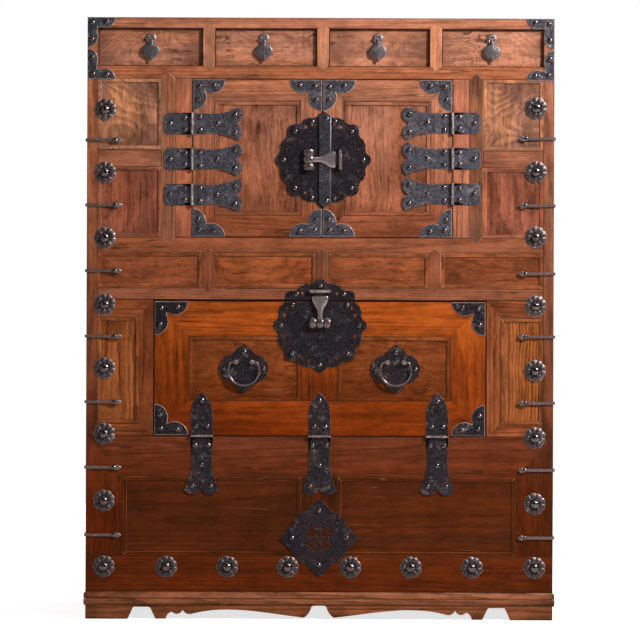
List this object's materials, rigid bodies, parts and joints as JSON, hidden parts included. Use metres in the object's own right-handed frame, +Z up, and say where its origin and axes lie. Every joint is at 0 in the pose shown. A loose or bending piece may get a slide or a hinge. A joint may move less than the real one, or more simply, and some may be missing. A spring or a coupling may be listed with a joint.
{
  "type": "korean two tier chest",
  "caption": "Tall wooden chest in two tiers: small drawers above hinged doors, a drop-front flap below, with black iron plates, hasps, ring handles and rosettes.",
  "frame": {"origin": "middle of the whole chest, ironwork included, on the floor", "axes": "+Z up, the longest extent; the front faces -Y; +X to the right seen from the front"},
  "size_m": [1.008, 0.4766, 1.288],
  "materials": {
    "frame_wood": "oiled and worn, open straight grain",
    "figured_panel_wood": "oiled, strongly figured",
    "flap_wood": "oiled, orange brown",
    "drawer_wood": "oiled, figured",
    "carcass_wood": "plain boards, lightly oiled",
    "base_wood": "dark, scuffed",
    "black_iron": "hammered black iron with worn edges",
    "nail_iron": "dark iron, polished on the domes",
    "worn_iron": "brown iron worn smooth"
  },
  "bodies": {
    "carcass": {"side_boards": "carcass_wood", "top_board": "carcass_wood", "shelf_boards": "carcass_wood", "back_boards": "carcass_wood", "drawer_partitions": "carcass_wood", "front_stiles": "frame_wood", "front_rails": "frame_wood", "front_uprights": "frame_wood", "flap_surround_boards": "frame_wood", "front_panels": "figured_panel_wood", "door_and_flap_stops": "carcass_wood", "base_moulding": "base_wood", "front_apron": "base_wood", "side_and_back_aprons": "base_wood", "top_corner_plates": "black_iron", "edge_cleats": "worn_iron", "rosettes": "black_iron", "rosette_studs": "nail_iron", "diamond_plate": "black_iron", "door_hinge_frame_leaves": "black_iron", "flap_hinge_lower_leaves": "black_iron", "flap_lock_upper_plate": "black_iron", "carcass_nails": "nail_iron", "hinge_pins": "worn_iron"},
    "left_door": {"left_door_corner_plates": "black_iron", "left_door_frame": "frame_wood", "left_door_hinge_leaves": "black_iron", "left_door_lock_plate": "black_iron", "left_door_nails": "nail_iron", "left_door_panel": "figured_panel_wood"},
    "right_door": {"right_door_corner_plates": "black_iron", "right_door_cover_strip": "black_iron", "right_door_frame": "frame_wood", "right_door_hinge_leaves": "black_iron", "right_door_lock_plate": "black_iron", "right_door_nails": "nail_iron", "right_door_panel": "figured_panel_wood"},
    "flap": {"flap_corner_plates": "black_iron", "flap_frame": "flap_wood", "flap_handle_plates": "black_iron", "flap_hinge_upper_leaves": "black_iron", "flap_lock_plate": "black_iron", "flap_nails": "nail_iron", "flap_panels": "flap_wood"},
    "door_hasp": {"door_hasp": "worn_iron"},
    "flap_hasp": {"flap_hasp": "worn_iron"},
    "left_handle_bail": {"left_handle_bail": "worn_iron"},
    "right_handle_bail": {"right_handle_bail": "worn_iron"},
    "drawer_1": {"drawer_1": "drawer_wood", "drawer_1_pull_plate": "worn_iron"},
    "drawer_1_drop": {"drawer_1_drop": "worn_iron"},
    "drawer_2": {"drawer_2": "drawer_wood", "drawer_2_pull_plate": "worn_iron"},
    "drawer_2_drop": {"drawer_2_drop": "worn_iron"},
    "drawer_3": {"drawer_3": "drawer_wood", "drawer_3_pull_plate": "worn_iron"},
    "drawer_3_drop": {"drawer_3_drop": "worn_iron"},
    "drawer_4": {"drawer_4": "drawer_wood", "drawer_4_pull_plate": "worn_iron"},
    "drawer_4_drop": {"drawer_4_drop": "worn_iron"}
  },
  "joints": [
    {"name": "left_door_hinge", "type": "hinge", "parent": "carcass", "child": "left_door", "pos_m": [-0.2749, -0.2279, 0.9845], "axis": [0, 0, -1], "range_deg": [0, 150]},
    {"name": "right_door_hinge", "type": "hinge", "parent": "carcass", "child": "right_door", "pos_m": [0.2821, -0.2279, 0.9875], "axis": [0, 0, 1], "range_deg": [0, 150]},
    {"name": "flap_hinge", "type": "hinge", "parent": "carcass", "child": "flap", "pos_m": [0, -0.2279, 0.39275], "axis": [1, 0, 0], "range_deg": [0, 150]},
    {"name": "door_hasp_hinge", "type": "hinge", "parent": "right_door", "child": "door_hasp", "pos_m": [0.042, -0.2318, 0.98425], "axis": [0, 0, 1], "range_deg": [0, 165]},
    {"name": "flap_hasp_hinge", "type": "hinge", "parent": "carcass", "child": "flap_hasp", "pos_m": [0, -0.2318, 0.7025], "axis": [-1, 0, 0], "range_deg": [0, 165]},
    {"name": "left_handle_swing", "type": "hinge", "parent": "flap", "child": "left_handle_bail", "pos_m": [-0.1625, -0.2323, 0.551], "axis": [-1, 0, 0], "range_deg": [-4, 165]},
    {"name": "right_handle_swing", "type": "hinge", "parent": "flap", "child": "right_handle_bail", "pos_m": [0.1625, -0.2323, 0.551], "axis": [-1, 0, 0], "range_deg": [-4, 165]},
    {"name": "drawer_1_slide", "type": "slide", "parent": "carcass", "child": "drawer_1", "axis": [0, -1, 0], "range_m": [0, 0.28]},
    {"name": "drawer_1_pull_swing", "type": "hinge", "parent": "drawer_1", "child": "drawer_1_drop", "pos_m": [-0.364, -0.2224, 1.244], "axis": [-1, 0, 0], "range_deg": [-4, 150]},
    {"name": "drawer_2_slide", "type": "slide", "parent": "carcass", "child": "drawer_2", "axis": [0, -1, 0], "range_m": [0, 0.28]},
    {"name": "drawer_2_pull_swing", "type": "hinge", "parent": "drawer_2", "child": "drawer_2_drop", "pos_m": [-0.122, -0.2224, 1.244], "axis": [-1, 0, 0], "range_deg": [-4, 150]},
    {"name": "drawer_3_slide", "type": "slide", "parent": "carcass", "child": "drawer_3", "axis": [0, -1, 0], "range_m": [0, 0.28]},
    {"name": "drawer_3_pull_swing", "type": "hinge", "parent": "drawer_3", "child": "drawer_3_drop", "pos_m": [0.122, -0.2224, 1.244], "axis": [-1, 0, 0], "range_deg": [-4, 150]},
    {"name": "drawer_4_slide", "type": "slide", "parent": "carcass", "child": "drawer_4", "axis": [0, -1, 0], "range_m": [0, 0.28]},
    {"name": "drawer_4_pull_swing", "type": "hinge", "parent": "drawer_4", "child": "drawer_4_drop", "pos_m": [0.366, -0.2224, 1.244], "axis": [-1, 0, 0], "range_deg": [-4, 150]}
  ]
}
